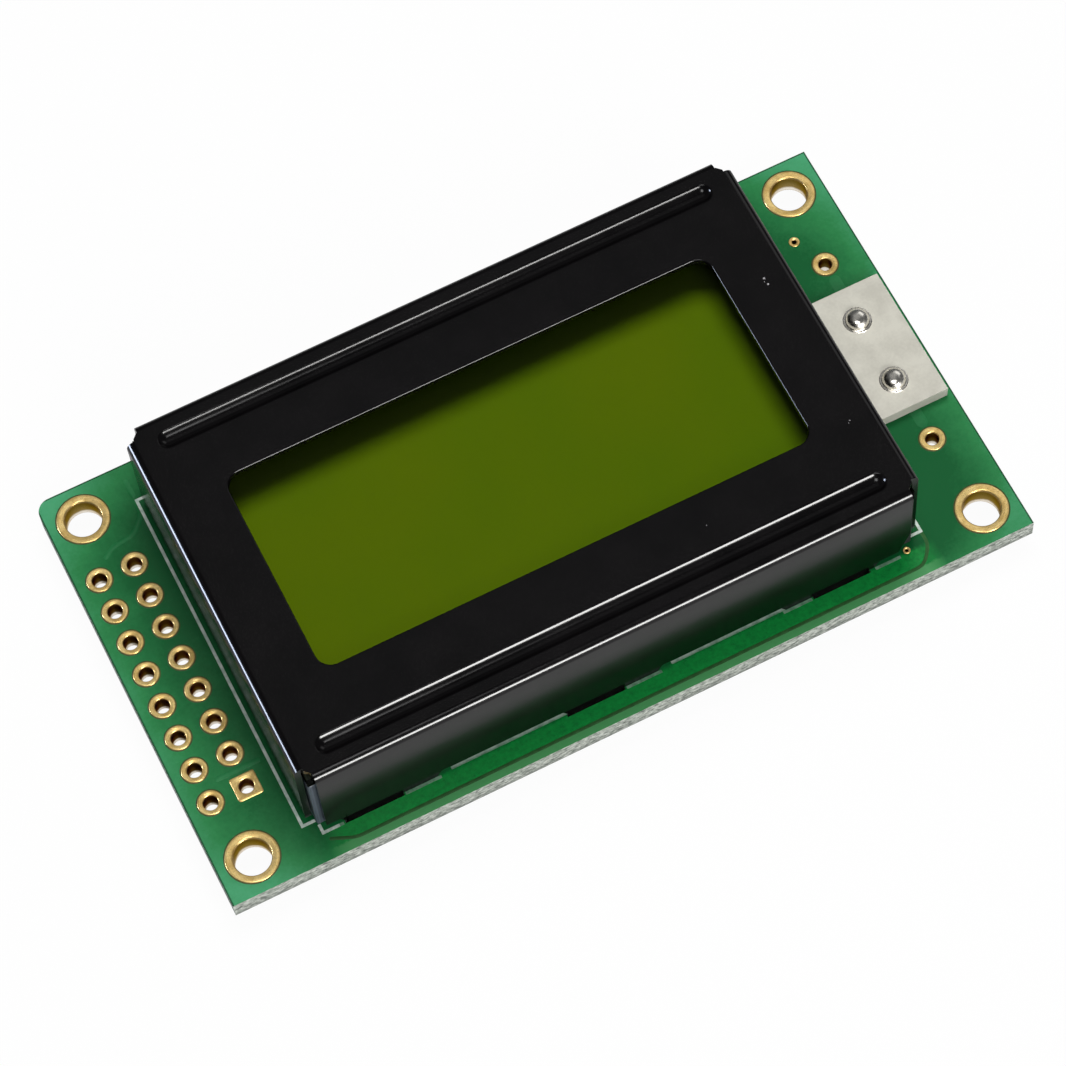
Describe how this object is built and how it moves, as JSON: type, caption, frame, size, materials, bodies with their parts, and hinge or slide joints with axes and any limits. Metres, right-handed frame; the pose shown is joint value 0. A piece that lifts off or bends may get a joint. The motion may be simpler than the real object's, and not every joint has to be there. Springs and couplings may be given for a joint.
{
  "type": "character lcd module",
  "caption": "Small character display module: liquid crystal cell in a folded black steel bezel on a green circuit board with a gold header and a light box tab.",
  "frame": {"origin": "centre of the mounting hole pattern, on the back face of the circuit board", "axes": "+Z out of the display towards the viewer, +X along the board away from the header holes, +Y towards the top of the display"},
  "size_m": [0.058, 0.032, 0.0111],
  "materials": {
    "mask_green": "glossy green solder mask over glass-fibre laminate",
    "gold_plating": "thin gold plating over nickel and copper",
    "print_ink": "thin whitish printed ink",
    "black_steel": "folded steel sheet with a satin black finish",
    "front_film": "clear film with a faint olive tint",
    "rear_film": "polarising film with a yellow-green layer behind it",
    "cell_glass": "clear thin sheet glass",
    "cell_seal": "thin cured resin seal",
    "strip_rubber": "bluish-grey silicone with fine conducting layers",
    "tab_board": "warm light-grey board with rough cut edges",
    "white_moulding": "white moulded plastic",
    "diffuser": "cloudy yellowish moulding",
    "light_dies": "small bright dies under clear resin",
    "tinned_wire": "tinned copper wire",
    "solder": "bright tin solder",
    "black_resin": "black potting resin, soft sheen",
    "chip_resistor": "white ceramic with a black coat and tinned ends",
    "chip_capacitor": "tan ceramic with tinned ends"
  },
  "bodies": {
    "root": {"circuit_board": "mask_green", "mounting_pad_1": "gold_plating", "mounting_pad_2": "gold_plating", "mounting_pad_3": "gold_plating", "mounting_pad_4": "gold_plating", "header_pad_1": "gold_plating", "header_pad_2": "gold_plating", "header_pad_3": "gold_plating", "header_pad_4": "gold_plating", "header_pad_5": "gold_plating", "header_pad_6": "gold_plating", "header_pad_7": "gold_plating", "header_pad_8": "gold_plating", "header_pad_9": "gold_plating", "header_pad_10": "gold_plating", "header_pad_11": "gold_plating", "header_pad_12": "gold_plating", "header_pad_13": "gold_plating", "header_pad_14": "gold_plating", "header_pad_15": "gold_plating", "header_pad_16": "gold_plating", "side_pad_front": "gold_plating", "side_pad_back": "gold_plating", "vias": "gold_plating", "printed_outline": "print_ink", "bezel": "black_steel", "front_film": "front_film", "front_glass": "cell_glass", "cell_seal": "cell_seal", "rear_glass": "cell_glass", "rear_film": "rear_film", "connector_strip_front": "strip_rubber", "connector_strip_back": "strip_rubber", "light_board": "tab_board", "light_frame": "white_moulding", "diffuser": "diffuser", "light_dies": "light_dies", "lead_pad_front": "gold_plating", "lead_pad_back": "gold_plating", "lead_wire_front": "tinned_wire", "lead_wire_back": "tinned_wire", "lug_joint_front": "solder", "lug_joint_back": "solder", "lead_joint_front": "solder", "lead_joint_back": "solder", "driver_drop": "black_resin", "resistor_1": "chip_resistor", "resistor_2": "chip_resistor", "resistor_3": "chip_resistor", "resistor_4": "chip_resistor", "resistor_5": "chip_resistor", "capacitor_1": "chip_capacitor", "capacitor_2": "chip_capacitor", "chip_solder": "solder"}
  },
  "joints": []
}
